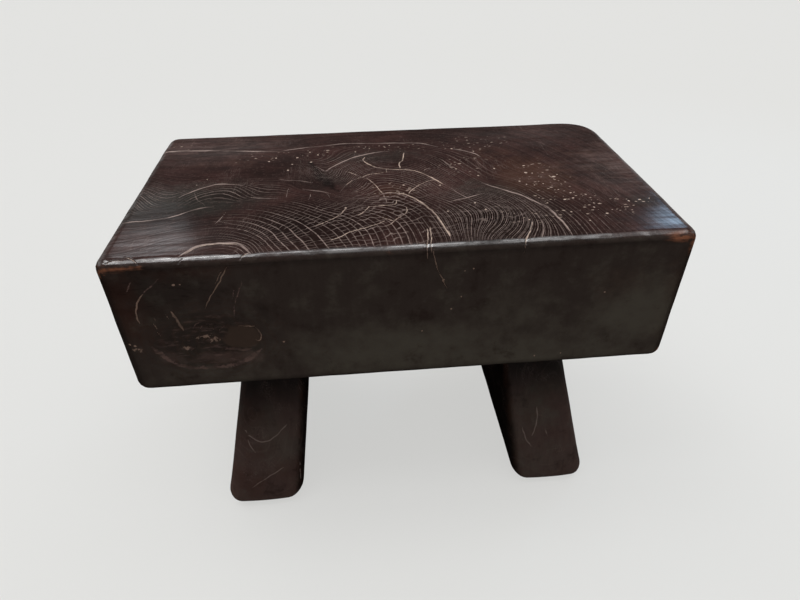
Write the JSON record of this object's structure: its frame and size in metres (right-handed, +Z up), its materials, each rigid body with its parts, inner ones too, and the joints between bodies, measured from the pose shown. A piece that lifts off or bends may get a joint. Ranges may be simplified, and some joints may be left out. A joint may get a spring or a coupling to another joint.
{
  "type": "block stool",
  "caption": "Low stool with a thick rounded block of dark stained end-grain wood as its seat, on splayed slab legs that widen towards the floor.",
  "frame": {"origin": "on the floor, under the middle of the seat block", "axes": "+Z up, +X along the seat towards the right leg, the front faces -Y"},
  "size_m": [0.61, 0.34, 0.395],
  "materials": {
    "stained_end_grain": "satin lacquer over dark stain",
    "stained_wood": "satin lacquer over dark stain",
    "wedge_wood": "bare",
    "felt": "pressed felt"
  },
  "bodies": {
    "root": {"seat_block": "stained_end_grain", "left_leg": "stained_wood", "right_leg": "stained_wood", "left_front_tenon_wedges": "wedge_wood", "left_rear_tenon_wedges": "wedge_wood", "right_front_tenon_wedges": "wedge_wood", "right_rear_tenon_wedges": "wedge_wood", "left_front_pad": "felt", "left_rear_pad": "felt", "right_front_pad": "felt", "right_rear_pad": "felt"}
  },
  "joints": []
}
